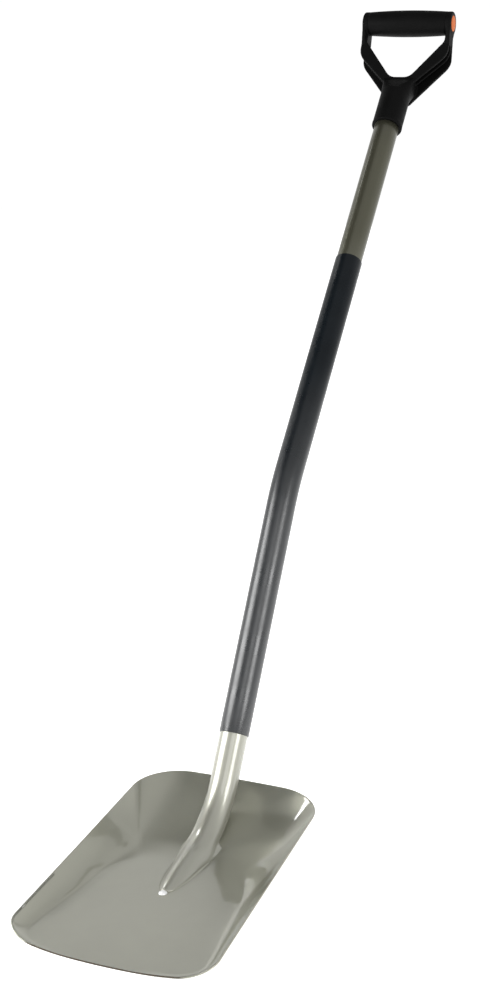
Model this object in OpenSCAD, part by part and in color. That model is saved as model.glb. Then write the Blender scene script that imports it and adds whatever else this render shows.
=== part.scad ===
// Scoop shovel with a bent tubular shaft, a plastic shaft sleeve and a D-handle.
// Frame: origin on the underside of the flat floor of the blade, +X to the right,
// +Y from the cutting edge towards the handle, +Z up. The shovel is symmetric about X = 0.

/* [Blade] */
// Length of the blade from the cutting edge to the rear rim
blade_length = 340; // [280:1:380]
// Width across the rims at the cutting edge
blade_width_front = 219; // [190:1:240]
// Width across the rims at the rear
blade_width_rear = 211; // [190:1:240]
// Thickness of the pressed sheet
sheet = 1.6; // [1.2:0.1:2.5]
// Height that the rim would have at the cutting edge if the side rims ran on straight
rim_front = 10.8; // [6:0.1:16]
// Height of the rear rim
rim_rear = 36.4; // [30:0.1:48]
// How far the cutting edge bows forward at its middle
front_bow = 10; // [4:0.5:14]
// Distance from the cutting edge to the origin
edge_to_origin = 120; // [100:1:140]

/* [Shaft] */
// Outside diameter of the steel tube
tube_d = 31; // [28:0.5:34]
// Wall thickness of the steel tube
tube_wall = 1.5; // [1.2:0.1:2.5]
// Angle of the lower stretch above the floor of the blade
lower_angle = 57.4; // [52:0.1:62]
// Angle of the upper stretch above the floor of the blade
upper_angle = 46.5; // [42:0.1:50]
// Radius of the bend in the middle of the shaft
bend_radius = 250; // [200:5:300]
// Radius of the curve that lays the tube onto the blade
foot_radius = 110; // [95:1:120]
// Length from the bend to the point where the handle's mid plane crosses the shaft
upper_length = 625.5; // [580:0.5:660]

/* [Sleeve] */
// Wall thickness of the plastic sleeve
sleeve_wall = 1; // [0.8:0.1:1.6]
// Sleeve length above the bend
sleeve_above = 316; // [250:1:360]
// Sleeve length below the bend
sleeve_below = 286.7; // [220:1:290]

/* [Handle] */
// Width of the D-handle over its end plugs
handle_width = 119; // [115:1:125]
// Angle of the D-handle above the floor of the blade
handle_angle = 62; // [56:0.5:66]
// Distance from the throat to the axis of the grip bar
throat_to_bar = 58.6; // [55:0.5:64]
// How far the grip bar stands in front of the handle's mid plane
bar_forward = 8; // [0:0.5:9]
// Depth of the arms from front to back
arm_depth = 24; // [22:0.5:26]
// Diameter of the grip at its thick middle
grip_mid_d = 33.6; // [32:0.2:38]
// Diameter of the grip at its ends
grip_end_d = 30; // [28:0.2:33]
// Outside diameter of the socket
socket_d = 38.8; // [38:0.2:42]
// Length of the socket below the throat
socket_length = 100; // [90:1:105]

/* [Hidden] */
$fn = 64;

// Blade, derived. The flat floor ends where the pressed radius begins.
edge_y = -edge_to_origin;
rear_y = blade_length - edge_to_origin;
floor_edge_y = edge_y + 6;
floor_rear_y = rear_y - 138;
floor_half_front = blade_width_front / 2 - 19;
floor_half_rear = blade_width_rear / 2 - 27;
rear_bow = 3;
wall_steps = 8;

// Shaft, derived. The bend vertex is where the two straight axes would meet.
tube_r = tube_d / 2;
foot_axis_z = 4;
foot_vertex_y = 148.6;
foot_tip_y = 24;
lower_length = 396.2;
bend_y = foot_vertex_y + lower_length * cos(lower_angle);
bend_z = foot_axis_z + lower_length * sin(lower_angle);
bend_angle = lower_angle - upper_angle;
bend_tangent = bend_radius * tan(bend_angle / 2);
foot_tangent = foot_radius * tan(lower_angle / 2);
tube_top_gap = 44;
gap = 0.05;
bend_n = 48;
bend_steps = 8;

// Handle, derived
arm_outer = handle_width / 2;
arm_inner = arm_outer - 7.5;
flange = 4;
rib = 2.5;
web = 4.5;
bar_d = 25;
boss_d = 30;
opening_down = 76.5;
opening_side_down = 33.5;
plug_d = 20.6;
plug_depth = 6;
screw_down = 64;
screw_d = 4.4;
arc_steps = 8;

// ---------- outlines ----------

function mix(a, b, t) = a + (b - a) * t;
function ease(t) = let (c = max(0, min(1, t))) c * c * (3 - 2 * c);

// Points of a round corner at p1 between the directions to p0 and p2
function corner(p0, p1, p2, r) =
    let (
        u = (p0 - p1) / norm(p0 - p1),
        v = (p2 - p1) / norm(p2 - p1),
        half = acos(u * v) / 2,
        centre = p1 + (u + v) / norm(u + v) * r / sin(half),
        a = p1 + u * r / tan(half) - centre,
        turn = 180 - 2 * half,
        way = a[0] * (v - u)[1] - a[1] * (v - u)[0] > 0 ? 1 : -1
    )
    [for (i = [0:arc_steps]) let (t = way * turn * i / arc_steps)
        centre + [a[0] * cos(t) - a[1] * sin(t), a[0] * sin(t) + a[1] * cos(t)]];

// Closed outline through the points, each with its own corner radius (0 keeps it sharp)
function rounded(pts, radii) =
    let (n = len(pts))
    [for (i = [0:n - 1])
        each radii[i] == 0 ? [pts[i]] : corner(pts[(i + n - 1) % n], pts[i], pts[(i + 1) % n], radii[i])];

function mirrored(pts) = [for (i = [len(pts) - 1:-1:0]) [-pts[i][0], pts[i][1]]];

// Right half of a pan outline, from the middle of the front to the middle of the rear
function half_pan(half_front, half_rear, y0, y1, bow, cx, cy, rx, ry) =
    let (
        side = function (y) half_front + (half_rear - half_front) * (y - y0) / (y1 - y0),
        front_x = half_front - cx,
        front_y = y0 + bow * pow(front_x / half_front, 2),
        rear_x = half_rear - rx,
        rear_end_y = y1 - rear_bow * pow(rear_x / half_rear, 2) - ry
    )
    concat(
        [for (i = [0:6]) let (x = front_x * i / 7) [x, y0 + bow * pow(x / half_front, 2)]],
        [for (i = [0:9]) let (a = 90 * i / 9)
            [side(front_y + cy * (1 - cos(a))) - cx * (1 - sin(a)), front_y + cy * (1 - cos(a))]],
        [for (i = [1:8]) let (y = front_y + cy + (rear_end_y - front_y - cy) * i / 9) [side(y), y]],
        [for (i = [0:11]) let (a = 90 * i / 11, y = rear_end_y + ry * sin(a))
            [side(y) - rx * (1 - cos(a)), y]],
        [for (i = [1:6]) let (x = rear_x * (1 - i / 6)) [x, y1 - rear_bow * pow(x / half_rear, 2)]]
    );

function closed_loop(half) =
    concat(half, [for (i = [len(half) - 2:-1:1]) [-half[i][0], half[i][1]]]);

// ---------- blade surface ----------

rim_loop = closed_loop(half_pan(blade_width_front / 2, blade_width_rear / 2,
    edge_y, rear_y, front_bow, 40, 28, 55, 49));
floor_loop = closed_loop(half_pan(floor_half_front, floor_half_rear,
    floor_edge_y, floor_rear_y, front_bow - 1, 34, 24, 50, 52));
corner_end_y = edge_y + front_bow + 28;

// Height of the rim: straight along the sides, sinking to the floor at the cutting edge
function rim_height(p) =
    let (
        line = rim_front + (rim_rear - rim_front) * (p[1] - edge_y) / blade_length,
        share = min(1, abs(p[0]) / (blade_width_front / 2))
    )
    max(0.02, p[1] < corner_end_y ? line * pow(share, 4.4) : line);

// The side walls bend up quickly and run on straighter, the rear wall rises as one wide curve
function wall_power(y) = 2 - 0.4 * ease((y + 100) / 60) * (1 - ease((y - 100) / 90));

// Point of the wall at share t of the way from floor point a to rim point b, lifted along the
// sheet's normal by up
function wall_point(a, b, t, up) =
    let (
        rise = rim_height(b),
        run = norm(b - a),
        power = wall_power(b[1]),
        slope = rise / run * power * pow(t, power - 1),
        tilt = sqrt(1 + slope * slope),
        p = a + (b - a) * (t - up * slope / tilt / run)
    )
    [p[0], p[1], rise * pow(t, power) + up / tilt];

function wall_ring(t, up) =
    [for (i = [0:len(rim_loop) - 1]) wall_point(floor_loop[i], rim_loop[i], t, up)];

// Height of the blade's upper surface on its centre line
rear_run = rear_y - floor_rear_y;
function floor_top(y) =
    let (share = max(0, y - floor_rear_y + 1.5) / rear_run, slope = 2 * share * rim_rear / rear_run)
    rim_rear * share * share + sheet * sqrt(1 + slope * slope);

// Two triangles for each quad between neighbouring rings of n points, both ends capped
function skin_faces(rings, n) = concat(
    [[for (i = [0:n - 1]) n - 1 - i]],
    [for (r = [0:rings - 2], i = [0:n - 1]) let (a = r * n + i, b = r * n + (i + 1) % n)
        each [[a, b, b + n], [a, b + n, a + n]]],
    [[for (i = [0:n - 1]) (rings - 1) * n + i]]
);

module skin(rings) {
    n = len(rings[0]);
    polyhedron(points = [for (ring = rings) each ring], faces = [for (f = skin_faces(len(rings), n))
        [for (i = [len(f) - 1:-1:0]) f[i]]], convexity = 6);
}

module blade() {
    color("#a6a596")
        skin(concat(
            [for (j = [0:wall_steps]) wall_ring(pow(j / wall_steps, 1.3), 0)],
            [for (j = [wall_steps:-1:0]) wall_ring(pow(j / wall_steps, 1.3), sheet)]
        ));
}

// ---------- shaft ----------

// Frame whose Z axis points up along the upper or the lower straight stretch
module upper_axis() translate([0, bend_y, bend_z]) rotate([upper_angle - 90, 0, 0]) children();
module lower_axis() translate([0, bend_y, bend_z]) rotate([lower_angle - 90, 0, 0]) children();

// Ring about the axis of the bend, turned by t degrees from its upper end towards the lower one
function bend_ring(r, t) =
    [for (i = [0:bend_n - 1]) let (a = 360 * i / bend_n, q = bend_radius + r * sin(a))
        [r * cos(a), bend_radius - q * cos(t), bend_tangent - q * sin(t)]];

// Rod of radius r along the bent axis, from "below" under the bend to "above" over it.
// The bend is faceted and stands a hair proud of the straight stretches, which run into it.
module bent_rod(r, below, above) {
    lap = 0.4;
    facet_r = (r + 0.04) / cos(180 / bend_n);
    lower_axis() translate([0, 0, -below]) cylinder(r = r, h = below - bend_tangent + lap);
    upper_axis() {
        translate([0, 0, bend_tangent - lap]) cylinder(r = r, h = above - bend_tangent + lap);
        skin([for (i = [0:bend_steps]) bend_ring(facet_r, bend_angle * i / bend_steps)]);
    }
}

// Tube along the bent axis
module bent_tube(r_out, r_in, below, above) {
    difference() {
        bent_rod(r_out, below, above);
        bent_rod(r_in, below + 1, above + 1);
    }
}

// Foot of the tube: the round section sinks onto the floor, spreads a skirt and narrows to a tip
foot_n = 48;
foot_arc_steps = 18;
foot_flat_steps = 10;
foot_arc_y = foot_vertex_y - foot_tangent;
skirt_half = 22.3;

// Half width of the foot where it meets the floor
function foot_half_width(y) =
    mix(18.5 * pow(max(y - foot_tip_y, 0.6) / 76, 0.3), skirt_half, ease((y - 80) / 40));

// One ring about a point of the axis, tilted by the axis angle. Its top is an ellipse with half
// width a and half height b that widens to half width m at the axis. Below the axis it is round
// like the tube where skirt is 0, and flares out to half width w at the floor where skirt is 1.
function foot_ring(y, z, angle, a, b, m, w, skirt) =
    let (reach = asin(min(1, max(0.05, (z - floor_top(y)) / (b * cos(angle))))))
    [for (i = [0:foot_n - 1]) let (
        t = 360 * i / foot_n,
        down = -asin(sin(t)),
        py = y - b * sin(t) * sin(angle),
        pz = z + b * sin(t) * cos(angle),
        flared = down < reach ? m + (w - m) * pow(down / reach, 2) : w * (90 - down) / (90.01 - reach),
        side = cos(t) < 0 ? -1 : 1
    ) [down <= 0 ? cos(t) * mix(a, m, pow(1 - sin(t), 2)) : mix(m * cos(t), side * flared, skirt),
        py, max(pz, floor_top(py) + gap)]];

function foot_arc_ring(i) =
    let (
        t = i / foot_arc_steps,
        angle = lower_angle * (1 - t),
        y = foot_arc_y + foot_radius * sin(angle),
        z = foot_axis_z + foot_radius * (1 - cos(angle)),
        w = foot_half_width(y)
    )
    foot_ring(y, z, angle, mix(tube_r, 0.76 * w, ease(t)), mix(tube_r, 12.5, ease(t)),
        mix(tube_r, w - 1, ease((t - 0.65) / 0.35)), w, ease((t - 0.62) / 0.1));

function foot_flat_ring(i) =
    let (
        t = i / foot_flat_steps,
        y = mix(foot_arc_y, foot_tip_y, 1 - pow(1 - t, 1.5)),
        share = (y - foot_tip_y) / (foot_arc_y - foot_tip_y),
        w = foot_half_width(y)
    )
    foot_ring(y, foot_axis_z - 2 * t, 0, 0.76 * w, 1.2 + 11.3 * pow(share, 0.8), w - 1 + t, w, 1);

// The first ring sits inside the tube's end, so the foot and the tube are one piece
function foot_start_ring(up, r) =
    let (s = foot_tangent + up)
    foot_ring(foot_vertex_y + s * cos(lower_angle), foot_axis_z + s * sin(lower_angle),
        lower_angle, r, r, r, r, 0);

module foot() {
    skin(concat(
        [foot_start_ring(3, tube_r - 0.4), foot_start_ring(-0.5, tube_r)],
        [for (i = [1:foot_arc_steps]) foot_arc_ring(i)],
        [for (i = [1:foot_flat_steps]) foot_flat_ring(i)]
    ));
}

module shaft_tube() {
    below = lower_length - foot_tangent;
    above = upper_length - tube_top_gap;
    color("#a9a898") {
        difference() {
            bent_tube(tube_r, tube_r - tube_wall, below, above);
            screw_place() translate([0, 0, -14]) cylinder(d = screw_d, h = 20);
        }
        foot();
    }
}

module shaft_sleeve() {
    color("#2a2b2d")
        bent_tube(tube_r + sleeve_wall, tube_r + gap, sleeve_below, sleeve_above);
}

// ---------- welds ----------

// Bead along one side of the foot, from the widest place to near the tip
bead_steps = 16;
bead_size = 2.4;
function bead_ring(i) =
    let (
        y = mix(94, foot_tip_y + 3, i / bead_steps),
        x = foot_half_width(y) + gap,
        z = floor_top(y) + gap,
        size = bead_size * (0.5 + 0.5 * sin(180 * i / bead_steps))
    )
    [[x, y, z], [x + size, y, z], [x + size * 0.75, y, z + size * 0.45],
        [x + size * 0.35, y, z + size * 0.75], [x, y, z + size * 0.85]];

module bead() skin([for (i = [bead_steps:-1:0]) bead_ring(i)]);

module weld_right() color("#9b9a8c") bead();
module weld_left() color("#9b9a8c") mirror([1, 0, 0]) bead();

// Round spot of weld metal in front of the tip
spot_r = 4.5;
spot_height = 2.4;
module weld_tip() {
    ball_r = (spot_r * spot_r + spot_height * spot_height) / (2 * spot_height);
    color("#e8e8e4")
        translate([0, foot_tip_y - spot_r - gap, sheet + gap])
            intersection() {
                translate([0, 0, spot_height - ball_r]) sphere(r = ball_r);
                cylinder(r = spot_r + 1, h = spot_height + 1);
            }
}

// ---------- handle ----------

throat_y = bend_y + upper_length * cos(upper_angle);
throat_z = bend_z + upper_length * sin(upper_angle);

// Frame of the D: Z runs from the throat to the grip bar, Y points out of its back
module handle_axis() translate([0, throat_y, throat_z]) rotate([handle_angle - 90, 0, 0]) children();
module bar_axis() handle_axis() translate([0, -bar_forward, throat_to_bar]) rotate([0, 90, 0]) children();

// Frame of the screw in the back of the socket: Z points out of the socket's wall
module screw_place()
    upper_axis() translate([0, socket_d / 2, upper_length - screw_down]) rotate([-90, 0, 0]) children();

// Outline of the arms and throat; the slope of the arms starts at side_down below the bar's axis
// and reaches the inside of the socket at throat_down
module outer_outline(side_x, side_down, throat_down) {
    half = [[12, throat_to_bar - throat_down], [side_x, throat_to_bar - side_down], [side_x, throat_to_bar]];
    polygon(rounded(concat(half, mirrored(half)), [0, 22, 0, 0, 22, 0]));
}
module front_outline() outer_outline(arm_outer - 0.5, 46, 92);
module rear_outline() outer_outline(arm_outer, 51, 107);

// Opening for the hand; grow moves its edge outward
module opening_outline(grow) {
    half = [[13 + grow * 0.55, throat_to_bar - opening_down - grow],
        [arm_inner + grow, throat_to_bar - opening_side_down - grow * 0.55], [arm_inner + grow, throat_to_bar]];
    polygon(rounded(concat(half, mirrored(half)), [15 + grow, 10 + grow, 0, 0, 10 + grow, 15 + grow]));
}

// Plate of the frame between two depths, lying in the plane of the D
module plate(back, front) rotate([90, 0, 0]) translate([0, 0, -back]) linear_extrude(back - front) children();

// Three flanges joined by a web that follows the opening
module arms() {
    half_depth = arm_depth / 2;
    plate(half_depth, half_depth - flange) rear_outline();
    plate(rib / 2, -rib / 2) front_outline();
    plate(flange - half_depth, -half_depth) front_outline();
    plate(half_depth, -half_depth) intersection() {
        front_outline();
        opening_outline(web);
    }
}

// Carries the round socket over into the flat arms
module throat() {
    hull() {
        upper_axis() translate([0, 0, upper_length - 50]) cylinder(d = socket_d - 0.6, h = 4);
        handle_axis() translate([0, 0, throat_to_bar - 84])
            cube([40, arm_depth - 0.4, 6], center = true);
    }
}

module handle_frame() {
    color("#1b1b1c")
        difference() {
            union() {
                difference() {
                    union() {
                        handle_axis() arms();
                        throat();
                        upper_axis() translate([0, 0, upper_length - socket_length])
                            cylinder(d = socket_d, h = socket_length - 48.2);
                    }
                    handle_axis() plate(2 * arm_depth, -2 * arm_depth) opening_outline(0);
                    // The inner walls of the arms lean forward to the bar at their back
                    handle_axis() translate([-arm_inner - web, arm_depth / 2, throat_to_bar - 40])
                        rotate([12, 0, 0]) cube([2 * (arm_inner + web), arm_depth, 50]);
                }
                for (x = [-arm_outer, arm_inner]) bar_axis() translate([0, 0, x])
                    cylinder(d = boss_d, h = arm_outer - arm_inner);
                bar_axis() translate([0, 0, -arm_inner - 1]) cylinder(d = bar_d, h = 2 * arm_inner + 2);
            }
            upper_axis() translate([0, 0, upper_length - socket_length - 1])
                cylinder(r = tube_r + gap, h = socket_length - tube_top_gap + 1 + gap);
            bar_axis() translate([0, 0, -arm_outer - 1]) cylinder(d = bar_d - 6, h = handle_width + 2);
            for (side = [-1, 1]) bar_axis() translate([0, 0, side * (arm_outer - plug_depth / 2 + 0.5)])
                cylinder(d = plug_d, h = plug_depth + 1, center = true);
            screw_place() translate([0, 0, -6]) cylinder(d = screw_d, h = 10);
        }
}

// Soft grip with a slightly thicker middle; its profile is an arc between the end diameters
module grip_sleeve() {
    length = 2 * (arm_inner - gap);
    belly = (grip_mid_d - grip_end_d) / 2;
    color("#232324")
        bar_axis() rotate_extrude() difference() {
            polygon(concat(
                [[0, -length / 2]],
                [for (i = [0:12]) let (t = i / 6 - 1) [grip_end_d / 2 + belly * (1 - t * t), t * length / 2]],
                [[0, length / 2]]
            ));
            translate([0, -length]) square([bar_d / 2 + gap, 2 * length]);
        }
}

module end_plug(side) {
    color("#d9662a")
        bar_axis() translate([0, 0, side > 0 ? arm_outer - plug_depth : -arm_outer])
            cylinder(d = plug_d - 2 * gap, h = plug_depth);
}
module end_plug_left() end_plug(-1);
module end_plug_right() end_plug(1);

// Pan-head screw through the back of the socket into the tube
module handle_screw() {
    color("#c8c8c6")
        screw_place() {
            translate([0, 0, -11]) cylinder(d = screw_d - 0.1, h = 11.2);
            difference() {
                translate([0, 0, 0.2]) cylinder(d = 9, h = 2.4);
                translate([0, 0, 1.2]) cylinder(d = 4, h = 2, $fn = 6);
            }
        }
}

blade();
shaft_tube();
shaft_sleeve();
weld_left();
weld_right();
weld_tip();
handle_frame();
grip_sleeve();
end_plug_left();
end_plug_right();
handle_screw();
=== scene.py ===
"""Looks of a scoop shovel: pressed blade, bent tube, plastic sleeve and moulded D-handle.

Sizes are in millimetres in the CAD frame: origin under the flat floor of the blade,
+Y from the cutting edge to the handle, +Z up, symmetric about X = 0. Meshes are made in metres.
"""

import math

import bmesh
import bpy
from mathutils import Matrix, Vector, noise


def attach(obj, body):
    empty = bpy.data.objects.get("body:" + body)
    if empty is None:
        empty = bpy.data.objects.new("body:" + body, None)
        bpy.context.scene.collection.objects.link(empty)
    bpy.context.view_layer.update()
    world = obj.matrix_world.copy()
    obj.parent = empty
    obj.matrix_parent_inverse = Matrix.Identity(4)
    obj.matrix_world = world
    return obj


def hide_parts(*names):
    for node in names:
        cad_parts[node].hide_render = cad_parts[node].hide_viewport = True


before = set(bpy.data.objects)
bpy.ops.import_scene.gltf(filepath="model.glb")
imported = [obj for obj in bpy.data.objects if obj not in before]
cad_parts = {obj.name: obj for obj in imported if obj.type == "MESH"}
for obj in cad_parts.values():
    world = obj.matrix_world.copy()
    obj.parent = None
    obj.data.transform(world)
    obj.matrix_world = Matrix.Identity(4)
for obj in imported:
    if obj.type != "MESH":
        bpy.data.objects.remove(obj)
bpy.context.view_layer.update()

MM = 0.001
TAU = 2 * math.pi

# ---------------------------------------------------------------- driving sizes

SHEET = 1.6
BLADE_LENGTH = 340.0
EDGE_Y = -120.0
REAR_Y = EDGE_Y + BLADE_LENGTH
HALF_FRONT = 109.5
HALF_REAR = 105.5
RIM_FRONT = 10.8
RIM_REAR = 36.4
FRONT_BOW = 10.0
REAR_BOW = 3.0
# Radii of the corners, across and along
RIM_CORNER_FRONT = (40.0, 28.0)
RIM_CORNER_REAR = (55.0, 49.0)
FLOOR_CORNER_FRONT = (34.0, 24.0)
FLOOR_CORNER_REAR = (50.0, 52.0)
FLOOR_EDGE_Y = EDGE_Y + 6
FLOOR_REAR_Y = REAR_Y - 138
FLOOR_HALF_FRONT = HALF_FRONT - 19
FLOOR_HALF_REAR = HALF_REAR - 27
CORNER_END_Y = EDGE_Y + FRONT_BOW + RIM_CORNER_FRONT[1]
# Power by which the cutting edge rises from its middle to the corners, and its least height
CORNER_LIFT = 4.4
EDGE_LIFT = 0.02
# The wall's curve is a little straighter along the sides: each change begins at a Y and has a length
SIDES_START = (-100, 60)
SIDES_END = (100, 90)
SIDES_STRAIGHTER = 0.25
# Walls that are evened out: range in Y, and rounds of smoothing
SOFT_FROM_Y = -75
SOFT_TO_Y = 110
SOFT_ROUNDS = 9
# The cutting edge is bare in front of and below these, where it faces forward; its dark steel there is
# also painted shadow, standing in for the contact shadow under the front edge
CUT_REAR_Y = -98.0
CUT_TOP_Z = 3.5
CUT_FACING = 0.45

# Steps along half of the rim: front, front corner, side, rear corner, rear
RIM_STEPS = (14, 24, 40, 30, 13)
# Rings of the blade's mesh
FLOOR_RINGS = 6
WALL_RINGS = 19
EDGE_RINGS = 7

TUBE_R = 15.5
LOWER_ANGLE = math.radians(57.4)
UPPER_ANGLE = math.radians(46.5)
BEND_R = 250.0
FOOT_R = 110.0
FOOT_AXIS_Z = 4.0
FOOT_VERTEX_Y = 148.6
FOOT_TIP_Y = 24.0
FOOT_HALF = 22.3
FOOT_HEIGHT = 12.5
FOOT_TIP_HEIGHT = 1.2
FOOT_TOP_SHARE = 0.76
TONGUE_HALF = 18.5
TONGUE_LENGTH = 76.0
TONGUE_POWER = 0.3
# The sheet's thickness brings the rear curve of the upper surface this much forward
CURVE_FORWARD = 1.5
# How far the foot and the beads reach into the sheet
FOOT_SINK = 0.4
BEAD_SINK = 0.3
# The tongue widens into the foot from this Y over this length
TONGUE_END = (80, 40)
LOWER_LENGTH = 396.2
UPPER_LENGTH = 625.5
TUBE_TOP = UPPER_LENGTH - 44
BEND_Y = FOOT_VERTEX_Y + LOWER_LENGTH * math.cos(LOWER_ANGLE)
BEND_Z = FOOT_AXIS_Z + LOWER_LENGTH * math.sin(LOWER_ANGLE)
FOOT_TANGENT = FOOT_R * math.tan(LOWER_ANGLE / 2)
BEND_TANGENT = BEND_R * math.tan((LOWER_ANGLE - UPPER_ANGLE) / 2)

SLEEVE_R = TUBE_R + 1.0
SLEEVE_GAP = 0.06
SLEEVE_ABOVE = 316.0
SLEEVE_BELOW = 286.7
SLEEVE_ROUNDING = 0.35

BEAD_REAR_Y = 94.0
BEAD_SIZE = 2.3
BEAD_RISE = 0.8
BEAD_HOLLOW = 1.6
BEAD_OVERLAP = 0.5
SPOT_R = 4.5
SPOT_HEIGHT = 2.4

HANDLE_ANGLE = math.radians(62)
THROAT_TO_BAR = 58.6
BAR_FORWARD = 8.0
ARM_OUTER = 59.5
ARM_INNER = ARM_OUTER - 7.5
ARM_HALF_DEPTH = 12.0
ARM_CORNER_R = 22.0
ARM_PLATE = 4.0
WEB_HALF = 1.25
# Depths below the bar: shoulders and throat of the front and the rear plate, opening of the D
FRONT_SHOULDER = 46.0
FRONT_THROAT = 92.0
REAR_SHOULDER = 51.0
REAR_THROAT = 107.0
OPENING_BOTTOM = 76.5
OPENING_SHOULDER_FRONT = 27.0
OPENING_SHOULDER_BACK = 33.5
# Half widths at the throat, and corner radii at the throat and the shoulder
THROAT_FLAT = 12.0
OPENING_FLAT = 13.0
THROAT_CORNER_R = 6.0
OPENING_BOTTOM_R = 15.0
OPENING_SHOULDER_R = 10.0
REAR_NARROWING = 4.0
# Thickness of the wall around the opening, and how its back leans forward near the bar
LINER = 4.5
LINER_SLANT = 0.55
REAR_LINER = 3.2
LEAN_FROM = 40.0
LEAN = 0.21
SOCKET_R = 19.4
SOCKET_BODY_R = SOCKET_R - 0.3
SOCKET_LENGTH = 100.0
SOCKET_TOP = 46.0
THROAT_HALF = 20.0
THROAT_START = 50.0
BOSS_R = 15.0
NECK_R = BOSS_R - 0.4
NECK_DOWN = 30.0
BAR_R = 12.4
VOXEL = 0.7
GRIP_MID_R = 16.8
GRIP_END_R = 15.0
PLUG_R = 10.3
SCREW_DOWN = 64.0

ACROSS = Vector((1, 0, 0))
RING_POINTS = 72


# ---------------------------------------------------------------- small helpers


def mix(a, b, t):
    return a + (b - a) * t


def ease(t):
    t = min(1.0, max(0.0, t))
    return t * t * (3 - 2 * t)


def eased(value, start, length):
    """Soft step from 0 to 1 as value runs over the length that begins at start."""
    return ease((value - start) / length)


def new_object(name, bm, smooth=True):
    """Scene object in metres from a bmesh in millimetres."""
    bmesh.ops.recalc_face_normals(bm, faces=bm.faces)
    mesh = bpy.data.meshes.new(name)
    bm.to_mesh(mesh)
    bm.free()
    mesh.transform(Matrix.Scale(MM, 4))
    for face in mesh.polygons:
        face.use_smooth = smooth
    piece = bpy.data.objects.new(name, mesh)
    bpy.context.scene.collection.objects.link(piece)
    return piece


def skin(bm, rings, cap_first=True, cap_last=True):
    """Quads between neighbouring rings of points, with the ends closed by one face each."""
    rows = [[bm.verts.new(p) for p in ring] for ring in rings]
    count = len(rows[0])
    for low, high in zip(rows, rows[1:]):
        for i in range(count):
            j = (i + 1) % count
            bm.faces.new((low[i], low[j], high[j], high[i]))
    if cap_first:
        bm.faces.new(rows[0][::-1])
    if cap_last:
        bm.faces.new(rows[-1])


def apply_modifiers(piece):
    """Bakes the piece's modifiers into its mesh."""
    graph = bpy.context.evaluated_depsgraph_get()
    mesh = bpy.data.meshes.new_from_object(piece.evaluated_get(graph))
    piece.modifiers.clear()
    piece.data = mesh
    for face in mesh.polygons:
        face.use_smooth = True


def stand_for(piece, node):
    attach(piece, "root")
    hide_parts(node)


# ---------------------------------------------------------------- blade


def rim_half():
    """Right half of the rim from above, from the middle of the front to the middle of the rear."""

    def side(y):
        return HALF_FRONT + (HALF_REAR - HALF_FRONT) * (y - EDGE_Y) / BLADE_LENGTH

    cx, cy = RIM_CORNER_FRONT
    rx, ry = RIM_CORNER_REAR
    front_x = HALF_FRONT - cx
    front_y = EDGE_Y + FRONT_BOW * (front_x / HALF_FRONT) ** 2
    rear_x = HALF_REAR - rx
    rear_end_y = REAR_Y - REAR_BOW * (rear_x / HALF_REAR) ** 2 - ry
    front, front_corner, sides, rear_corner, rear = RIM_STEPS
    points = []
    for i in range(front):
        x = front_x * i / front
        points.append((x, EDGE_Y + FRONT_BOW * (x / HALF_FRONT) ** 2))
    for i in range(front_corner + 1):
        a = math.pi / 2 * i / front_corner
        y = front_y + cy * (1 - math.cos(a))
        points.append((side(y) - cx * (1 - math.sin(a)), y))
    for i in range(1, sides):
        y = mix(front_y + cy, rear_end_y, i / sides)
        points.append((side(y), y))
    for i in range(rear_corner + 1):
        a = math.pi / 2 * i / rear_corner
        y = rear_end_y + ry * math.sin(a)
        points.append((side(y) - rx * (1 - math.cos(a)), y))
    for i in range(1, rear + 1):
        x = rear_x * (1 - i / rear)
        points.append((x, REAR_Y - REAR_BOW * (x / HALF_REAR) ** 2))
    return points


def fan(px, py, rx, ry):
    """Point of a quarter ellipse whose outward normal runs through (px, py)."""
    low, high = 0.0, math.pi / 2
    halvings = 30
    for _ in range(halvings):
        a = (low + high) / 2
        dx, dy = px - rx * math.cos(a), py - ry * math.sin(a)
        if dx * math.sin(a) / ry > dy * math.cos(a) / rx:
            high = a
        else:
            low = a
    return rx * math.cos(low), ry * math.sin(low)


def floor_partner(x, y):
    """Point on the edge of the flat floor from which the wall rises to the rim point (x, y)."""
    front, rear = FLOOR_CORNER_FRONT, FLOOR_CORNER_REAR
    front_y = FLOOR_EDGE_Y + front[1]
    rear_y = FLOOR_REAR_Y - rear[1]
    half = mix(FLOOR_HALF_FRONT, FLOOR_HALF_REAR, eased(y, front_y, rear_y - front_y))
    bow = (FRONT_BOW - 1) * (min(x, half - front[0]) / FLOOR_HALF_FRONT) ** 2
    if y < front_y + bow:
        inner = half - front[0]
        if x < inner:
            return x, FLOOR_EDGE_Y + bow
        dx, dy = fan(x - inner, front_y + bow - y, *front)
        return inner + dx, front_y + bow - dy
    if y > rear_y:
        inner = half - rear[0]
        if x < inner:
            return x, FLOOR_REAR_Y
        dx, dy = fan(x - inner, y - rear_y, *rear)
        return inner + dx, rear_y + dy
    return half, y


def closed_loop(half):
    """Whole loop from its right half, which begins and ends on the middle line."""
    return half + [(-x, y) for x, y in half[-2:0:-1]]


def rim_height(x, y):
    """Height of the rim's underside: a straight slope, let down along the cutting edge."""
    line = RIM_FRONT + (RIM_REAR - RIM_FRONT) * (y - EDGE_Y) / BLADE_LENGTH
    if y < CORNER_END_Y:
        line *= min(1.0, abs(x) / HALF_FRONT) ** CORNER_LIFT
    return max(EDGE_LIFT, line)


def wall_point(a, b, t, up):
    """Point at share t of the wall from floor point a to rim point b, lifted along the normal by up.

    The walls rise as one wide curve, which is a little straighter along the sides.
    """
    rise = rim_height(*b)
    run = math.hypot(b[0] - a[0], b[1] - a[1])
    power = 2 - SIDES_STRAIGHTER * eased(b[1], *SIDES_START) * (1 - eased(b[1], *SIDES_END))
    slope = rise / run * power * t ** (power - 1)
    tilt = math.sqrt(1 + slope * slope)
    out = t - up * slope / tilt / run
    return (mix(a[0], b[0], out), mix(a[1], b[1], out), rise * t**power + up / tilt)


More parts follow.
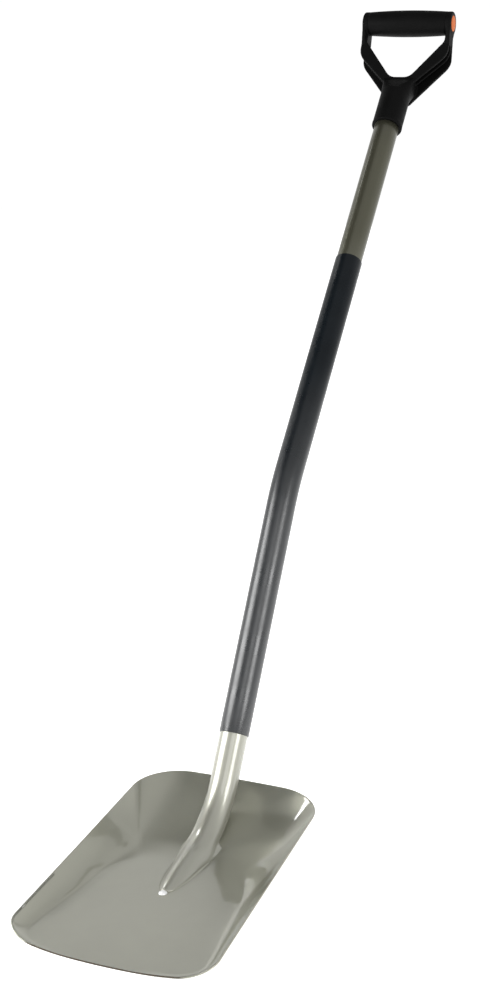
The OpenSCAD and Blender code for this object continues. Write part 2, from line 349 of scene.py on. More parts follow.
def floor_top(y):
    """Height of the blade's upper surface on its centre line."""
    run = REAR_Y - FLOOR_REAR_Y
    d = max(0.0, y - FLOOR_REAR_Y + CURVE_FORWARD)
    slope = 2 * RIM_REAR * d / run**2
    return RIM_REAR * (d / run) ** 2 + SHEET * math.sqrt(1 + slope * slope)


def soften_walls(bm, count):
    """Evens out the height of the walls, so that the corners run softly into the sides.

    The blade's rings have count points each. They run from the middle of the floor to the rim and
    back below, so rings as far from the first as from the last lie on the two faces of one wall.
    """
    bm.verts.ensure_lookup_table()
    last = len(bm.verts) // count - 1
    walls = []
    for row in range(last + 1):
        if FLOOR_RINGS <= min(row, last - row) < FLOOR_RINGS + WALL_RINGS - 2:
            ring = bm.verts[row * count : (row + 1) * count]
            walls += [v for v in ring if SOFT_FROM_Y < v.co.y < SOFT_TO_Y]
    for _ in range(SOFT_ROUNDS):
        bmesh.ops.smooth_vert(bm, verts=walls, factor=0.5, use_axis_z=True)


def make_blade():
    half = rim_half()
    rim = closed_loop(half)
    floor = closed_loop([floor_partner(x, y) for x, y in half])
    # The floor's rings shrink towards a line along its middle
    spine = [(0.0, mix(y, (FLOOR_EDGE_Y + FLOOR_REAR_Y) / 2, 0.45)) for _, y in floor]
    # The wall's rings lie closer together near the floor and stop short of the rounded rim
    shares = [(i / (WALL_RINGS - 1)) ** 1.6 * 0.97 for i in range(WALL_RINGS)]

    def floor_ring(k, z):
        t = k / FLOOR_RINGS
        return [(mix(s[0], p[0], t), mix(s[1], p[1], t), z) for s, p in zip(spine, floor)]

    def edge_ring(turn):
        """Ring on the rounded edge of the rim; turn runs from 0 (inside) to 1 (outside)."""
        up = SHEET / 2 + SHEET / 2 * math.cos(math.pi * turn)
        back = SHEET / 2 * (1 - math.sin(math.pi * turn))
        ring = []
        for a, b in zip(floor, rim):
            run = math.hypot(b[0] - a[0], b[1] - a[1])
            ring.append(wall_point(a, b, 1 - back / max(run, 4.0), up))
        return ring

    rings = [floor_ring(k, SHEET) for k in range(1, FLOOR_RINGS)]
    rings += [[wall_point(a, b, t, SHEET) for a, b in zip(floor, rim)] for t in shares]
    rings += [edge_ring(i / (EDGE_RINGS - 1)) for i in range(EDGE_RINGS)]
    rings += [[wall_point(a, b, t, 0) for a, b in zip(floor, rim)] for t in shares[::-1]]
    rings += [floor_ring(k, 0) for k in range(FLOOR_RINGS - 1, 0, -1)]
    bm = bmesh.new()
    skin(bm, rings)
    soften_walls(bm, len(rim))
    piece = new_object("blade_pan", bm)
    piece.data.materials.append(BLADE_PAINT)
    piece.data.materials.append(BARE_EDGE_AND_SHADOW)
    # Forward-facing faces of the cutting edge get dark bare steel, which is partly painted contact
    # shadow under the edge
    for face in piece.data.polygons:
        at_edge = face.center.y < CUT_REAR_Y * MM and face.center.z < CUT_TOP_Z * MM
        if at_edge and face.normal.y < -CUT_FACING:
            face.material_index = 1
    return piece


# ---------------------------------------------------------------- shaft


def lower_point(s):
    """Point and angle (y, z, angle) of the lower axis, s below the bend vertex."""
    return BEND_Y - s * math.cos(LOWER_ANGLE), BEND_Z - s * math.sin(LOWER_ANGLE), LOWER_ANGLE


def upper_point(s):
    """Point and angle (y, z, angle) of the upper axis, s above the bend vertex."""
    return BEND_Y + s * math.cos(UPPER_ANGLE), BEND_Z + s * math.sin(UPPER_ANGLE), UPPER_ANGLE


def shaft_path(below, above):
    """Axis points (y, z, angle) from above the bend down to below it."""
    straight_steps, bend_steps = 6, 14
    path = [upper_point(mix(above, BEND_TANGENT, i / straight_steps)) for i in range(straight_steps)]
    y0, z0, _ = upper_point(BEND_TANGENT)
    cy = y0 + BEND_R * math.sin(UPPER_ANGLE)
    cz = z0 - BEND_R * math.cos(UPPER_ANGLE)
    for i in range(bend_steps + 1):
        a = mix(UPPER_ANGLE, LOWER_ANGLE, i / bend_steps)
        path.append((cy - BEND_R * math.sin(a), cz + BEND_R * math.cos(a), a))
    for i in range(1, straight_steps + 1):
        path.append(lower_point(mix(BEND_TANGENT, below, i / straight_steps)))
    return path


def ring_at(y, z, angle, r, count=RING_POINTS):
    """Circle about an axis point, square to the axis."""
    ring = []
    for i in range(count):
        t = TAU * i / count
        back = r * math.sin(t) * math.sin(angle)
        ring.append((r * math.cos(t), y - back, z + r * math.sin(t) * math.cos(angle)))
    return ring


def foot_half_width(y):
    """Half width on the floor: a blunt tongue that widens into the foot."""
    tongue = TONGUE_HALF * (max(y - FOOT_TIP_Y, 0.6) / TONGUE_LENGTH) ** TONGUE_POWER
    return mix(tongue, FOOT_HALF, eased(y, *TONGUE_END))


def foot_ring(y, z, angle, a, b, m, w, skirt):
    """Ring of the foot: half width a at the top, m at the axis and w at the floor, height b.

    As skirt goes from 0 to 1 the lower half changes from a round tube to sides that flare out to
    the floor.
    """
    reach = math.asin(min(1.0, max(0.05, (z - floor_top(y)) / (b * math.cos(angle)))))
    ring = []
    for i in range(RING_POINTS):
        t = TAU * i / RING_POINTS
        down = -math.asin(math.sin(t))
        py = y - b * math.sin(t) * math.sin(angle)
        pz = z + b * math.sin(t) * math.cos(angle)
        if down <= 0:
            x = math.cos(t) * mix(a, m, (1 - math.sin(t)) ** 2)
        else:
            if down < reach:
                flared = m + (w - m) * (down / reach) ** 2
            else:
                flared = w * (math.pi / 2 - down) / (math.pi / 2 + 1e-4 - reach)
            x = mix(m * math.cos(t), math.copysign(flared, math.cos(t)), skirt)
        ring.append((x, py, max(pz, floor_top(py) - FOOT_SINK)))
    return ring


def foot_rings():
    """Rings of the foot from the end of the straight tube to the tip."""
    arc_y = FOOT_VERTEX_Y - FOOT_TANGENT
    arc_steps, tongue_steps = 40, 24
    rings = []
    for i in range(1, arc_steps + 1):
        t = i / arc_steps
        angle = LOWER_ANGLE * (1 - t)
        y = arc_y + FOOT_R * math.sin(angle)
        z = FOOT_AXIS_Z + FOOT_R * (1 - math.cos(angle))
        w = foot_half_width(y)
        a = mix(TUBE_R, FOOT_TOP_SHARE * w, ease(t))
        b = mix(TUBE_R, FOOT_HEIGHT, ease(t))
        # The sides spread only on the last third of the arc
        m = mix(TUBE_R, w - 1, eased(t, 0.65, 0.35))
        rings.append(foot_ring(y, z, angle, a, b, m, w, eased(t, 0.62, 0.1)))
    for i in range(1, tongue_steps + 1):
        t = i / tongue_steps
        y = mix(arc_y, FOOT_TIP_Y, 1 - (1 - t) ** 1.5)
        share = (y - FOOT_TIP_Y) / (arc_y - FOOT_TIP_Y)
        w = foot_half_width(y)
        b = FOOT_TIP_HEIGHT + (FOOT_HEIGHT - FOOT_TIP_HEIGHT) * share**0.8
        rings.append(foot_ring(y, FOOT_AXIS_Z - 2 * t, 0.0, FOOT_TOP_SHARE * w, b, w - 1 + t, w, 1.0))
    return rings


def make_tube():
    straight_end = LOWER_LENGTH - FOOT_TANGENT
    rings = [ring_at(*p, TUBE_R) for p in shaft_path(straight_end, TUBE_TOP)]
    bm = bmesh.new()
    skin(bm, rings + foot_rings())
    return new_object("tube_shaft", bm)


def make_sleeve():
    """Thin sleeve with softly rounded ends, hollow inside."""
    path = shaft_path(SLEEVE_BELOW, SLEEVE_ABOVE)
    bore = TUBE_R + SLEEVE_GAP
    top, bottom = path[0], path[-1]

    def end_rings(point, inward):
        """Rings from inside the bore over the rounded end to the outside; inward is -1 or 1."""
        y, z, a = point
        rings = []
        for s, r in (
            (6, bore),
            (0, bore),
            (0, SLEEVE_R - SLEEVE_ROUNDING),
            (0.15, SLEEVE_R - 0.1),
            (0.5, SLEEVE_R),
        ):
            s *= inward
            rings.append(ring_at(y + s * math.cos(a), z + s * math.sin(a), a, r))
        return rings

    rings = end_rings(top, -1)
    rings += [ring_at(*p, SLEEVE_R) for p in path[1:-1]]
    rings += end_rings(bottom, 1)[::-1]
    rings += [ring_at(*p, bore) for p in path[-2:0:-1]]
    rings.append(rings[0])
    bm = bmesh.new()
    skin(bm, rings, cap_first=False, cap_last=False)
    bmesh.ops.remove_doubles(bm, verts=bm.verts, dist=1e-4)
    return new_object("sleeve_skin", bm)


# ---------------------------------------------------------------- welds


def make_bead(name, side):
    """Painted weld fillet beside the foot: a shallow concave section with slow ripples."""
    rings = []
    steps = 90
    for i in range(steps + 1):
        s = i / steps
        y = mix(BEAD_REAR_Y, FOOT_TIP_Y + 3, s)
        ripple = 1 + 0.1 * noise.noise(Vector((s * 11, side * 3.7, 0.5)))
        size = BEAD_SIZE * (0.5 + 0.5 * math.sin(math.pi * s)) * ripple
        x = foot_half_width(y) - BEAD_OVERLAP
        z = floor_top(y) - BEAD_SINK
        ring = []
        for k in range(9):
            t = k / 8
            out = (size + BEAD_OVERLAP) * (1 - t) ** BEAD_HOLLOW
            up = (size * BEAD_RISE + BEAD_SINK) * t**BEAD_HOLLOW
            ring.append((side * (x + out), y, z + up))
        ring.append((side * x, y, z))
        rings.append(ring)
    bm = bmesh.new()
    skin(bm, rings)
    return new_object(name, bm)


def make_spot():
    """Low round spot of bare weld metal at the tip."""
    bm = bmesh.new()
    rings = []
    count, levels = 32, 7
    for k in range(levels):
        a = math.pi / 2 * k / levels
        z = SHEET + SPOT_HEIGHT * math.sin(a)
        ring = []
        for i in range(count):
            t = TAU * i / count
            lobes = 1 + 0.12 * noise.noise(Vector((math.cos(t) * 1.3, math.sin(t) * 1.3, 2.0)))
            r = SPOT_R * math.cos(a) * lobes
            ring.append((r * math.cos(t), FOOT_TIP_Y - SPOT_R + r * math.sin(t), z))
        rings.append(ring)
    skin(bm, rings)
    return new_object("weld_spot", bm)


# ---------------------------------------------------------------- handle

D_UP = Vector((0, math.cos(HANDLE_ANGLE), math.sin(HANDLE_ANGLE)))
D_BACK = Vector((0, math.sin(HANDLE_ANGLE), -math.cos(HANDLE_ANGLE)))
THROAT = Vector((0, *upper_point(UPPER_LENGTH)[:2]))
BAR = THROAT + D_UP * THROAT_TO_BAR - D_BACK * BAR_FORWARD
SHAFT_UP = Vector((0, math.cos(UPPER_ANGLE), math.sin(UPPER_ANGLE)))
SHAFT_BACK = Vector((0, math.sin(UPPER_ANGLE), -math.cos(UPPER_ANGLE)))


def in_handle(x, back, up):
    """Point from the handle's own directions: x across, back out of its rear, up to the bar."""
    return Vector((x, 0, 0)) + THROAT + D_BACK * back + D_UP * up


def round_corners(points, radii):
    """Open path through the points with round corners; the ends stay as they are."""
    steps = 10
    path = [Vector(points[0])]
    for before, here, after, r in zip(points, points[1:], points[2:], radii):
        before, here, after = Vector(before), Vector(here), Vector(after)
        u, v = (before - here).normalized(), (after - here).normalized()
        half = u.angle(v) / 2
        centre = here + (u + v).normalized() * r / math.sin(half)
        start = here + u * r / math.tan(half) - centre
        end = here + v * r / math.tan(half) - centre
        turn = start.angle_signed(end)
        for i in range(steps + 1):
            a = -turn * i / steps
            x = start.x * math.cos(a) - start.y * math.sin(a)
            y = start.x * math.sin(a) + start.y * math.cos(a)
            path.append(centre + Vector((x, y)))
    path.append(Vector(points[-1]))
    return path


def arm_path(side_x, shoulder, throat):
    """Outer edge of the arms from the left end of the bar, under the throat, to the right end."""
    top = THROAT_TO_BAR
    right = [(THROAT_FLAT, top - throat), (side_x, top - shoulder), (side_x, top)]
    left = [(-x, y) for x, y in right[::-1]]
    radii = (ARM_CORNER_R, THROAT_CORNER_R)
    return round_corners(left + right, radii + radii[::-1])


def opening_path(grow, shoulder=OPENING_SHOULDER_BACK):
    """Edge of the opening for the fingers, made wider all round by grow."""
    top = THROAT_TO_BAR
    slant = grow * LINER_SLANT
    right = [
        (OPENING_FLAT + slant, top - OPENING_BOTTOM - grow),
        (ARM_INNER + grow, top - shoulder - slant),
        (ARM_INNER + grow, top),
    ]
    left = [(-x, y) for x, y in right[::-1]]
    radii = (OPENING_SHOULDER_R + grow, OPENING_BOTTOM_R + grow)
    return round_corners(left + right, radii + radii[::-1])


def plate(bm, outer, inner, back0, back1, inner_back=None):
    """Plate between an outer and an inner path, from depth back0 to back1.

    With a second inner path for its back it is the inner wall of the arms: the opening narrows
    towards its back, and the back leans forward to the bar.
    """
    faces = []
    for depth, hole in ((back0, inner), (back1, inner_back or inner)):
        face = []
        for p in outer + hole[::-1]:
            back = depth
            if inner_back and depth > 0:
                back -= max(0.0, p.y - THROAT_TO_BAR + LEAN_FROM) * LEAN
            face.append(bm.verts.new(in_handle(p.x, back, p.y)))
        faces.append(face)
    count = len(faces[0])
    for i in range(count):
        j = (i + 1) % count
        bm.faces.new((faces[0][i], faces[0][j], faces[1][j], faces[1][i]))
    bm.faces.new(faces[0][::-1])
    bm.faces.new(faces[1])


def add_hull(bm, points):
    """Adds the convex hull of the points as a closed body."""
    hull = bmesh.new()
    for p in points:
        hull.verts.new(p)
    made = bmesh.ops.convex_hull(hull, input=hull.verts)
    bmesh.ops.delete(hull, geom=made["geom_interior"], context="VERTS")
    mesh = bpy.data.meshes.new("hull")
    hull.to_mesh(mesh)
    hull.free()
    bm.from_mesh(mesh)
    bpy.data.meshes.remove(mesh)


def turned(bm, centre, axis, side, profile, count=64):
    """Solid of revolution about an axis: profile is (along, radius) pairs, with flat ends."""
    other = axis.cross(side)
    rings = []
    for along, r in profile:
        ring = []
        for i in range(count):
            a = TAU * i / count
            ring.append(centre + axis * along + (side * math.cos(a) + other * math.sin(a)) * r)
        rings.append(ring)
    skin(bm, rings)


def add_arms(bm):
    """Front and rear plate of the arms, the web between them and the wall around the opening."""
    front = arm_path(ARM_OUTER - 0.5, FRONT_SHOULDER, FRONT_THROAT)
    rear = arm_path(ARM_OUTER, REAR_SHOULDER, REAR_THROAT)
    # The rear plate narrows towards the bosses
    rear[0].x += REAR_NARROWING
    rear[-1].x -= REAR_NARROWING
    opening = opening_path(0, OPENING_SHOULDER_FRONT)
    opening_back = opening_path(0)
    depth = ARM_HALF_DEPTH
    plate(bm, rear, opening_path(REAR_LINER), depth - ARM_PLATE, depth)
    plate(bm, front, opening_back, -WEB_HALF, WEB_HALF)
    plate(bm, front, opening, -depth, ARM_PLATE - depth)
    plate(bm, opening_path(LINER), opening, -depth, depth, opening_back)


def add_bar(bm):
    """The two bosses and the bar between them, which the grip covers."""
    boss = [
        (ARM_INNER - 1, BOSS_R - 1),
        (ARM_INNER, BOSS_R),
        (ARM_OUTER - 1.5, BOSS_R),
        (ARM_OUTER, BOSS_R - 1.5),
    ]
    for side in (-1, 1):
        turned(bm, BAR, ACROSS * side, D_UP, boss)
    turned(bm, BAR, ACROSS, D_UP, [(-ARM_INNER - 1, BAR_R), (ARM_INNER + 1, BAR_R)])


def add_socket(bm):
    """Round socket over the end of the tube, with a collar around its mouth."""
    profile = [
        (0, SOCKET_R - 0.8),
        (0.8, SOCKET_R),
        (4, SOCKET_R),
        (5.5, SOCKET_BODY_R),
        (30, SOCKET_BODY_R),
        (SOCKET_LENGTH - SOCKET_TOP, SOCKET_BODY_R),
    ]
    y, z, _ = upper_point(UPPER_LENGTH - SOCKET_LENGTH)
    turned(bm, Vector((0, y, z)), SHAFT_UP, ACROSS, profile)


def add_throat(bm):
    """Throat that carries the round socket over into the flat arms."""
    arms_down = (79, 87)
    points = ring_at(*upper_point(UPPER_LENGTH - THROAT_START), SOCKET_BODY_R, 48)
    for x in (-THROAT_HALF, THROAT_HALF):
        for back in (-ARM_HALF_DEPTH, ARM_HALF_DEPTH):
            points += [in_handle(x, back, THROAT_TO_BAR - down) for down in arms_down]
    add_hull(bm, points)


def add_neck(bm, side):
    """Neck by which a boss runs down into the front of its arm."""
    count = 24
    points = []
    for x in (side * (ARM_INNER + 2.5), side * (ARM_OUTER - 0.6)):
        for i in range(count):
            a = TAU * i / count
            back = NECK_R * math.cos(a) - BAR_FORWARD
            points.append(in_handle(x, back, THROAT_TO_BAR + NECK_R * math.sin(a)))
        points += [in_handle(x, back, THROAT_TO_BAR - NECK_DOWN) for back in (-ARM_HALF_DEPTH, 2)]
    add_hull(bm, points)


def make_handle():
    """The whole D as one moulding: its bodies are joined by voxels and softened."""
    bm = bmesh.new()
    add_arms(bm)
    add_bar(bm)
    add_socket(bm)
    add_throat(bm)
    for side in (-1, 1):
        add_neck(bm, side)
    piece = new_object("handle_moulding", bm)
    remesh = piece.modifiers.new("voxels", "REMESH")
    remesh.mode = "VOXEL"
    remesh.voxel_size = VOXEL * MM
    soften = piece.modifiers.new("soften", "SMOOTH")
    soften.factor = 0.5
    soften.iterations = 6
    apply_modifiers(piece)
    return piece


def make_grip():
    """Soft barrel grip, thickest in the middle."""
    bm = bmesh.new()
    half = ARM_INNER - 0.2
    profile = []
    steps = 40
    for i in range(steps + 1):
        t = 2 * i / steps - 1
        profile.append((t * half, GRIP_END_R + (GRIP_MID_R - GRIP_END_R) * (1 - t * t)))
    turned(bm, BAR, ACROSS, D_UP, profile, 96)
    return new_object("grip_barrel", bm)


def make_plug(name, side):
    """Push-in end plug with a chamfered rim and a slightly domed face."""
    bm = bmesh.new()
    face = ARM_OUTER + 0.25
    profile = [
        (ARM_OUTER - 5, PLUG_R - 0.2),
        (face - 0.4, PLUG_R - 0.2),
        (face, PLUG_R - 0.7),
        (face + 0.25, PLUG_R * 0.6),
        (face + 0.3, PLUG_R * 0.3),
    ]
    turned(bm, BAR, ACROSS * side, D_UP, profile)
    return new_object(name, bm)


def make_screw():
    """Pan-head screw with a round recess, in the back of the socket."""
    bm = bmesh.new()
    y, z, _ = upper_point(UPPER_LENGTH - SCREW_DOWN)
    seat = Vector((0, y, z)) + SHAFT_BACK * SOCKET_R
    shank = [(-11, 2.1), (0.2, 2.1)]
    head = [(0.2, 4.5), (1.2, 4.4), (2.0, 3.8), (2.6, 2.6)]
    recess = [(2.6, 2.0), (1.2, 1.9)]
    turned(bm, seat, SHAFT_BACK, ACROSS, shank + head + recess, 48)
    return new_object("screw_head", bm)


# ---------------------------------------------------------------- materials


def colour_ramp(tree, value, stops):
    """Colour ramp on a value; stops are (position, colour) pairs."""
    node = tree.nodes.new("ShaderNodeValToRGB")
    elements = node.color_ramp.elements
    while len(elements) < len(stops):
        elements.new(0.5)
    for element, (position, colour) in zip(elements, stops):
        element.position = position
        element.color = (*colour, 1)
    tree.links.new(value, node.inputs["Fac"])
    return node.outputs["Color"]


class Nodes:
    """Small helper that adds and links shader nodes of one material."""

    def __init__(self, name):
        self.material = bpy.data.materials.new(name)
        self.material.use_nodes = True
        self.tree = self.material.node_tree
        self.shader = self.tree.nodes["Principled BSDF"]
        self.place = self.add("ShaderNodeTexCoord").outputs["Object"]

    def add(self, kind, **values):
        node = self.tree.nodes.new(kind)
        for key, value in values.items():
            setattr(node, key, value)
        return node

    def link(self, source, target):
        self.tree.links.new(source, target)

    def feed(self, **sources):
        """Links outputs to inputs of the shader, named with _ for each space."""
        for key, source in sources.items():
            self.link(source, self.shader.inputs[key.replace("_", " ")])

    def height(self):
        """Height above the ground, in metres."""
        node = self.add("ShaderNodeSeparateXYZ")
        self.link(self.place, node.inputs["Vector"])
        return node.outputs["Z"]

    def noise(self, scale, detail=3.0, roughness=0.5):
        node = self.add("ShaderNodeTexNoise")
        node.inputs["Scale"].default_value = scale
        node.inputs["Detail"].default_value = detail
        node.inputs["Roughness"].default_value = roughness
        self.link(self.place, node.inputs["Vector"])
        return node.outputs["Fac"]

    def ramp(self, value, stops):
        return colour_ramp(self.tree, value, stops)

    def grey(self, value, low, high, low_value, high_value):
        """Number that goes from low_value to high_value as value goes from low to high."""
        return self.ramp(value, [(low, (low_value,) * 3), (high, (high_value,) * 3)])

    def bump(self, height, strength, distance, under=None):
        """Normals from a height, on top of the normals of another bump."""
        node = self.add("ShaderNodeBump")
        node.inputs["Strength"].default_value = strength
        node.inputs["Distance"].default_value = distance
        self.link(height, node.inputs["Height"])
        if under:
            self.link(under, node.inputs["Normal"])
        return node.outputs["Normal"]

    def set(self, **values):
        """Sets inputs of the shader, named with _ for each space."""
        for key, value in values.items():
            self.shader.inputs[key.replace("_", " ")].default_value = value


def tint(rgb, factor):
    return tuple(c * factor for c in rgb)


def painted_steel(name, colour, metallic, rough, painted_top_shade=(1, 1, 1)):
    """Clear-coated silver paint: fine flake, faint orange peel and slow waves of the sheet.

    High up, near the handle, paint colour and coat are weaker by the top shading colour: this is
    painted shade, standing in for the less light that falls on the upper tube.
    """
    n = Nodes(name)
    n.set(Metallic=metallic, Coat_Roughness=0.06, Coat_IOR=1.7)
    cloud = n.noise(scale=7, detail=4, roughness=0.55)
    paint = n.ramp(cloud, [(0.3, tint(colour, 0.95)), (0.7, tint(colour, 1.05))])
    # Painted shade: darker colour and a weaker coat from 0.3 m to 0.6 m up, where less light falls
    shade = n.ramp(n.height(), [(0.3, (1, 1, 1)), (0.6, painted_top_shade)])
    shaded = n.add("ShaderNodeMix", data_type="RGBA", blend_type="MULTIPLY")
    shaded.inputs["Factor"].default_value = 1
    n.link(paint, shaded.inputs["A"])
    n.link(shade, shaded.inputs["B"])
    patches = n.noise(scale=18, detail=5, roughness=0.6)
    wave = n.bump(n.noise(scale=9, detail=1, roughness=0.4), strength=0.25, distance=0.0012)
    peel = n.bump(n.noise(scale=300, detail=1), strength=0.06, distance=0.0002, under=wave)
    flake = n.bump(n.noise(scale=900, detail=1), strength=0.06, distance=0.0001, under=peel)
    n.feed(
        Base_Color=shaded.outputs["Result"],
        Roughness=n.grey(patches, 0.3, 0.75, rough * 0.9, rough * 1.15),
        Normal=flake,
        Coat_Weight=shade,
        Coat_Normal=peel,
    )
    return n.material


def moulded_plastic(name, colour, rough, grain, specular=0.5, painted_shade_specular=None):
    """Moulded plastic with a fine spark-eroded texture and slight gloss variation.

    Above the bend its specular level goes over to a lower top level: painted shade, so that the upper
    sleeve reflects less, as where less light falls.
    """
    n = Nodes(name)
    n.set(Specular_IOR_Level=specular)
    # Painted shade: weaker reflections above the bend
    if painted_shade_specular is not None:
        n.feed(Specular_IOR_Level=n.grey(n.height(), 0.3, 0.46, specular, painted_shade_specular))
    cloud = n.noise(scale=30, detail=4, roughness=0.6)
    patches = n.noise(scale=38, detail=4, roughness=0.6)
    texture = n.noise(scale=grain, roughness=0.6)
    n.feed(
        Base_Color=n.ramp(cloud, [(0.3, tint(colour, 0.85)), (0.7, tint(colour, 1.2))]),
        Roughness=n.grey(patches, 0.35, 0.68, rough * 0.85, rough * 1.3),
        Normal=n.bump(texture, strength=0.25, distance=0.00015),
    )
    return n.material


def bare_metal(name, colour, rough, metallic=1.0):
    """Unpainted metal with small stains and a fine grain."""
    n = Nodes(name)
    n.set(Metallic=metallic)
    n.feed(
        Base_Color=n.ramp(n.noise(scale=300), [(0.3, tint(colour, 0.85)), (0.7, colour)]),
        Roughness=n.grey(n.noise(scale=200), 0.3, 0.7, rough * 0.8, rough * 1.3),
        Normal=n.bump(n.noise(scale=500), strength=0.2, distance=0.0002),
    )
    return n.material


# ---------------------------------------------------------------- build

SILVER = (0.39, 0.39, 0.32)
SHAFT_SILVER = (0.36, 0.36, 0.305)
# Painted shade of the upper tube, which gets less light high up
PAINTED_TOP_SHADE = (0.25, 0.245, 0.2)
BLUE_BLACK = (0.005, 0.007, 0.009)
BLACK = (0.0025, 0.0025, 0.0025)
ORANGE = (0.50, 0.11, 0.015)
# Dark bare steel of the cutting edge, partly painted contact shadow under the edge
DULL_STEEL_AND_SHADOW = (0.12, 0.10, 0.08)
# Near-white weld metal: partly painted glint, the white highlight on the weld spot at the tip
BRIGHT_STEEL_AND_GLINT = (0.98, 0.98, 0.98)
PLAIN_STEEL = (0.7, 0.7, 0.68)

BLADE_PAINT = painted_steel("blade_paint", SILVER, metallic=0.94, rough=0.35)
BARE_EDGE_AND_SHADOW = bare_metal("cut_edge_and_shadow", DULL_STEEL_AND_SHADOW, rough=0.5)
SHAFT_PAINT = painted_steel("shaft_paint", SHAFT_SILVER, metallic=0.8, rough=0.42, painted_top_shade=PAINTED_TOP_SHADE)
# The sleeve's weaker reflections above the bend are painted shade
SLEEVE_PLASTIC = moulded_plastic(
    "sleeve_plastic", BLUE_BLACK, rough=0.29, grain=700, specular=1.0, painted_shade_specular=0.15
)
HANDLE_PLASTIC = moulded_plastic("handle_plastic", BLACK, rough=0.5, grain=900, specular=0.06)
GRIP_RUBBER = moulded_plastic("grip_rubber", BLACK, rough=0.5, grain=1100, specular=0.06)
PLUG_PLASTIC = moulded_plastic("plug_plastic", ORANGE, rough=0.5, grain=800, specular=0.2)
# The spot's near-white, half diffuse finish is partly painted glint: it shows the tip's highlight as
# its own colour
WELD_METAL_AND_GLINT = bare_metal("weld_metal", BRIGHT_STEEL_AND_GLINT, rough=0.4, metallic=0.4)
SCREW_STEEL = bare_metal("screw_steel", PLAIN_STEEL, rough=0.2)

PIECES = (
    (make_blade(), "blade", "blade_steel", BLADE_PAINT),
    (make_tube(), "shaft_tube", "shaft_steel", SHAFT_PAINT),
    (make_sleeve(), "shaft_sleeve", "sleeve_plastic", SLEEVE_PLASTIC),
    (make_bead("weld_bead_left", -1), "weld_left", "weld_metal", BLADE_PAINT),
    (make_bead("weld_bead_right", 1), "weld_right", "weld_metal", BLADE_PAINT),
    (make_spot(), "weld_tip", "weld_metal", WELD_METAL_AND_GLINT),
    (make_handle(), "handle_frame", "handle_plastic", HANDLE_PLASTIC),
    (make_grip(), "grip_sleeve", "grip_rubber", GRIP_RUBBER),
    (make_plug("plug_left", -1), "end_plug_left", "plug_plastic", PLUG_PLASTIC),
    (make_plug("plug_right", 1), "end_plug_right", "plug_plastic", PLUG_PLASTIC),
    (make_screw(), "handle_screw", "screw_steel", SCREW_STEEL),
)
for piece, node, slot, material in PIECES:
    if not piece.data.materials:
        piece.data.materials.append(material)
    stand_for(piece, node)

# ---------------------------------------------------------------- stage, light and camera

FLOOR_SIZE = 6000
FLOOR_GAP = 0.0005

# Brightness of the surroundings by height, as (sine of the elevation, level)
NEAR_HORIZON = [(0.03, 1.0), (0.06, 0.84), (0.3, 0.84), (0.42, 0.8)]
LEFT_SKY = NEAR_HORIZON + [(0.54, 0.74), (0.7, 0.06), (1.0, 0.03)]
RIGHT_SKY = NEAR_HORIZON + [(0.56, 0.74), (0.68, 0.62), (0.8, 0.66), (1.0, 0.66)]
SKY_CHANGE = [(0.33, 0.0), (0.45, 1.0)]
SKY_STRENGTH = 1.02

# Name, place, target, width and height, power, spread in degrees
LIGHTS = (
    ("left_box", (-1.74, -0.78, 1.1), (0, 0.15, 0.1), (1.6, 1.1), 34, 180),
    ("right_box", (1.88, -0.53, 1.02), (0, 0.2, 0.15), (0.9, 0.9), 13, 180),
    ("front_box", (0.87, -1.6, 1.75), (0, 0.2, 0.15), (1.2, 0.9), 5, 180),
    ("rear_box", (-1.28, 1.0, 1.53), (0.085, 0.195, 0.03), (0.3, 0.3), 0.12, 30),
)

CAMERA_PLACE = (0.619241, -1.279001, 0.821993)
CAMERA_TURNS = (22.156, 15.917, 0.171)
CAMERA_LENS = 57.526
CAMERA_SENSOR = 36


def make_floor():
    """White paper under the shovel, glowing a little so that it renders white."""
    bm = bmesh.new()
    bmesh.ops.create_grid(bm, x_segments=1, y_segments=1, size=FLOOR_SIZE)
    piece = new_object("floor", bm, smooth=False)
    piece.location.z = -FLOOR_GAP
    n = Nodes("floor_paper")
    n.set(Roughness=0.9, Emission_Color=(1, 1, 1, 1), Emission_Strength=0.7)
    n.feed(Base_Color=n.grey(n.noise(scale=3, detail=2), 0.0, 1.0, 0.86, 0.90))
    piece.data.materials.append(n.material)


def area_light(name, place, target, size, power, spread):
    data = bpy.data.lights.new(name, "AREA")
    data.shape = "RECTANGLE"
    data.spread = math.radians(spread)
    data.size, data.size_y = size
    data.energy = power
    light = bpy.data.objects.new(name, data)
    light.location = place
    light.rotation_euler = (Vector(target) - Vector(place)).to_track_quat("-Z", "Y").to_euler()
    light.visible_camera = False
    bpy.context.scene.collection.objects.link(light)


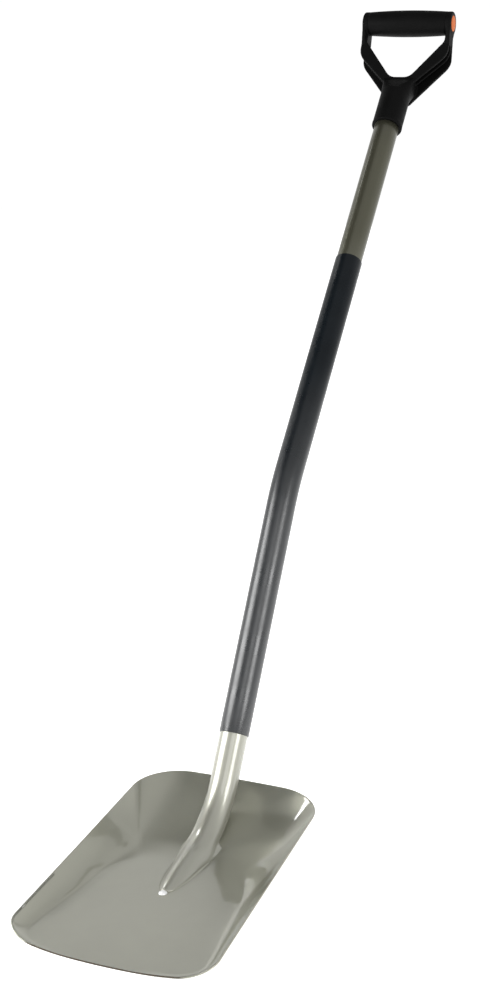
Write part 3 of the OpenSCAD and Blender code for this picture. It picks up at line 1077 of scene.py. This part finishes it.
def make_world():
    """Studio surroundings: white at the horizon, pale walls, dark high up on the left only."""
    world = bpy.data.worlds.new("studio")
    world.use_nodes = True
    tree = world.node_tree

    def levels(value, stops):
        return colour_ramp(tree, value, [(position, (level,) * 3) for position, level in stops])

    way = tree.nodes.new("ShaderNodeSeparateXYZ")
    tree.links.new(tree.nodes.new("ShaderNodeTexCoord").outputs["Generated"], way.inputs["Vector"])
    left = levels(way.outputs["Z"], LEFT_SKY)
    right = levels(way.outputs["Z"], RIGHT_SKY)
    # Position across from 0 at -X to 1 at +X
    across = tree.nodes.new("ShaderNodeMath")
    across.operation = "MULTIPLY_ADD"
    across.inputs[1].default_value = 0.5
    across.inputs[2].default_value = 0.5
    tree.links.new(way.outputs["X"], across.inputs[0])
    both = tree.nodes.new("ShaderNodeMix")
    both.data_type = "RGBA"
    tree.links.new(levels(across.outputs["Value"], SKY_CHANGE), both.inputs["Factor"])
    tree.links.new(left, both.inputs["A"])
    tree.links.new(right, both.inputs["B"])
    background = tree.nodes["Background"]
    tree.links.new(both.outputs["Result"], background.inputs["Color"])
    background.inputs["Strength"].default_value = SKY_STRENGTH
    bpy.context.scene.world = world


def make_camera():
    """Camera of the photo, turned by azimuth, elevation and roll."""
    azimuth, elevation, roll = (math.radians(d) for d in CAMERA_TURNS)
    flat = math.cos(elevation)
    ahead = Vector((-math.sin(azimuth) * flat, math.cos(azimuth) * flat, -math.sin(elevation)))
    level = Vector((math.cos(azimuth), math.sin(azimuth), 0))
    right = level * math.cos(roll) + ahead.cross(level) * math.sin(roll)
    up = right.cross(ahead)
    data = bpy.data.cameras.new("camera")
    data.sensor_width = CAMERA_SENSOR
    data.lens = CAMERA_LENS
    data.clip_end = 100
    camera = bpy.data.objects.new("camera", data)
    facing = Matrix((right, up, -ahead)).transposed().to_4x4()
    camera.matrix_world = Matrix.Translation(CAMERA_PLACE) @ facing
    bpy.context.scene.collection.objects.link(camera)
    bpy.context.scene.camera = camera


make_floor()
make_world()
for light in LIGHTS:
    area_light(*light)
make_camera()
bpy.context.scene.view_settings.view_transform = "Standard"
